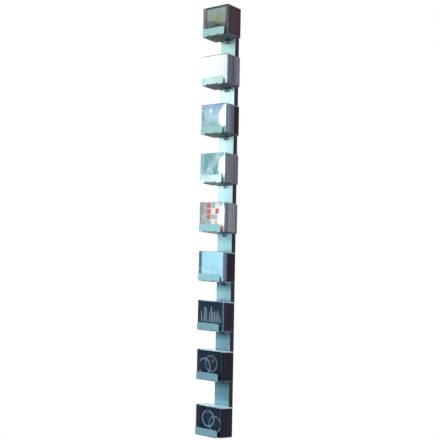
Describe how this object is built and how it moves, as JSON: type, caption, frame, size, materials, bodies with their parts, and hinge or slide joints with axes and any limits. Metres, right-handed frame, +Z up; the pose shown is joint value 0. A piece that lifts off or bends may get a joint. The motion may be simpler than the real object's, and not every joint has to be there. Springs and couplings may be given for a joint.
{
  "type": "wall-mounted cd rack",
  "caption": "Tall slim wall rack: a metal-faced wooden backboard carries bent metal trays, one above another, each holding upright CD cases behind a low lip.",
  "frame": {"origin": "middle of the backboard's rear face, on the wall", "axes": "+Z up, +Y into the wall, the trays face -Y, +X to the right seen from the front"},
  "size_m": [0.142, 0.1237, 1.828],
  "materials": {
    "stained_wood": "dark stain, satin lacquer",
    "satin_metal": "satin brushed",
    "screw_steel": "zinc plated",
    "case_plastic": "glossy moulded",
    "clear_plastic": "clear glossy moulded",
    "printed_card": "coated print"
  },
  "bodies": {
    "rack": {"backboard": "stained_wood", "face_strip": "satin_metal", "strip_screws": "screw_steel", "tray_screws": "screw_steel", "tray_1": "satin_metal", "tray_2": "satin_metal", "tray_3": "satin_metal", "tray_4": "satin_metal", "tray_5": "satin_metal", "tray_6": "satin_metal", "tray_7": "satin_metal", "tray_8": "satin_metal", "tray_9": "satin_metal"},
    "case_group_1": {"case_stack_1": "case_plastic"},
    "front_case_1": {"front_lid_1": "clear_plastic", "cover_card_1": "printed_card", "front_base_1": "case_plastic"},
    "case_group_2": {"case_stack_2": "case_plastic"},
    "front_case_2": {"front_lid_2": "clear_plastic", "cover_card_2": "printed_card", "front_base_2": "case_plastic"},
    "case_group_3": {"case_stack_3": "case_plastic"},
    "front_case_3": {"front_lid_3": "clear_plastic", "cover_card_3": "printed_card", "front_base_3": "case_plastic"},
    "case_group_4": {"case_stack_4": "case_plastic"},
    "front_case_4": {"front_lid_4": "clear_plastic", "cover_card_4": "printed_card", "front_base_4": "case_plastic"},
    "case_group_5": {"case_stack_5": "case_plastic"},
    "front_case_5": {"front_lid_5": "clear_plastic", "cover_card_5": "printed_card", "front_base_5": "case_plastic"},
    "case_group_6": {"case_stack_6": "case_plastic"},
    "front_case_6": {"front_lid_6": "clear_plastic", "cover_card_6": "printed_card", "front_base_6": "case_plastic"},
    "case_group_7": {"case_stack_7": "case_plastic"},
    "front_case_7": {"front_lid_7": "clear_plastic", "cover_card_7": "printed_card", "front_base_7": "case_plastic"},
    "case_group_8": {"case_stack_8": "case_plastic"},
    "front_case_8": {"front_lid_8": "clear_plastic", "cover_card_8": "printed_card", "front_base_8": "case_plastic"},
    "case_group_9": {"case_stack_9": "case_plastic"},
    "front_case_9": {"front_lid_9": "clear_plastic", "cover_card_9": "printed_card", "front_base_9": "case_plastic"}
  },
  "joints": [
    {"name": "front_case_tilt_1", "type": "hinge", "parent": "rack", "child": "front_case_1", "pos_m": [0, -0.1112, 0.79352], "axis": [1, 0, 0], "range_deg": [0, 18]},
    {"name": "case_group_lift_1", "type": "slide", "parent": "rack", "child": "case_group_1", "axis": [0, 0, 1], "range_m": [0, 0.04]},
    {"name": "front_case_tilt_2", "type": "hinge", "parent": "rack", "child": "front_case_2", "pos_m": [0, -0.1112, 0.58552], "axis": [1, 0, 0], "range_deg": [0, 18]},
    {"name": "case_group_lift_2", "type": "slide", "parent": "rack", "child": "case_group_2", "axis": [0, 0, 1], "range_m": [0, 0.04]},
    {"name": "front_case_tilt_3", "type": "hinge", "parent": "rack", "child": "front_case_3", "pos_m": [0, -0.1112, 0.37752], "axis": [1, 0, 0], "range_deg": [0, 18]},
    {"name": "case_group_lift_3", "type": "slide", "parent": "rack", "child": "case_group_3", "axis": [0, 0, 1], "range_m": [0, 0.04]},
    {"name": "front_case_tilt_4", "type": "hinge", "parent": "rack", "child": "front_case_4", "pos_m": [0, -0.1112, 0.16952], "axis": [1, 0, 0], "range_deg": [0, 18]},
    {"name": "case_group_lift_4", "type": "slide", "parent": "rack", "child": "case_group_4", "axis": [0, 0, 1], "range_m": [0, 0.04]},
    {"name": "front_case_tilt_5", "type": "hinge", "parent": "rack", "child": "front_case_5", "pos_m": [0, -0.1112, -0.03848], "axis": [1, 0, 0], "range_deg": [0, 18]},
    {"name": "case_group_lift_5", "type": "slide", "parent": "rack", "child": "case_group_5", "axis": [0, 0, 1], "range_m": [0, 0.04]},
    {"name": "front_case_tilt_6", "type": "hinge", "parent": "rack", "child": "front_case_6", "pos_m": [0, -0.1112, -0.24648], "axis": [1, 0, 0], "range_deg": [0, 18]},
    {"name": "case_group_lift_6", "type": "slide", "parent": "rack", "child": "case_group_6", "axis": [0, 0, 1], "range_m": [0, 0.04]},
    {"name": "front_case_tilt_7", "type": "hinge", "parent": "rack", "child": "front_case_7", "pos_m": [0, -0.1112, -0.45448], "axis": [1, 0, 0], "range_deg": [0, 18]},
    {"name": "case_group_lift_7", "type": "slide", "parent": "rack", "child": "case_group_7", "axis": [0, 0, 1], "range_m": [0, 0.04]},
    {"name": "front_case_tilt_8", "type": "hinge", "parent": "rack", "child": "front_case_8", "pos_m": [0, -0.1112, -0.66248], "axis": [1, 0, 0], "range_deg": [0, 18]},
    {"name": "case_group_lift_8", "type": "slide", "parent": "rack", "child": "case_group_8", "axis": [0, 0, 1], "range_m": [0, 0.04]},
    {"name": "front_case_tilt_9", "type": "hinge", "parent": "rack", "child": "front_case_9", "pos_m": [0, -0.1112, -0.89648], "axis": [1, 0, 0], "range_deg": [0, 18]},
    {"name": "case_group_lift_9", "type": "slide", "parent": "rack", "child": "case_group_9", "axis": [0, 0, 1], "range_m": [0, 0.04]}
  ]
}
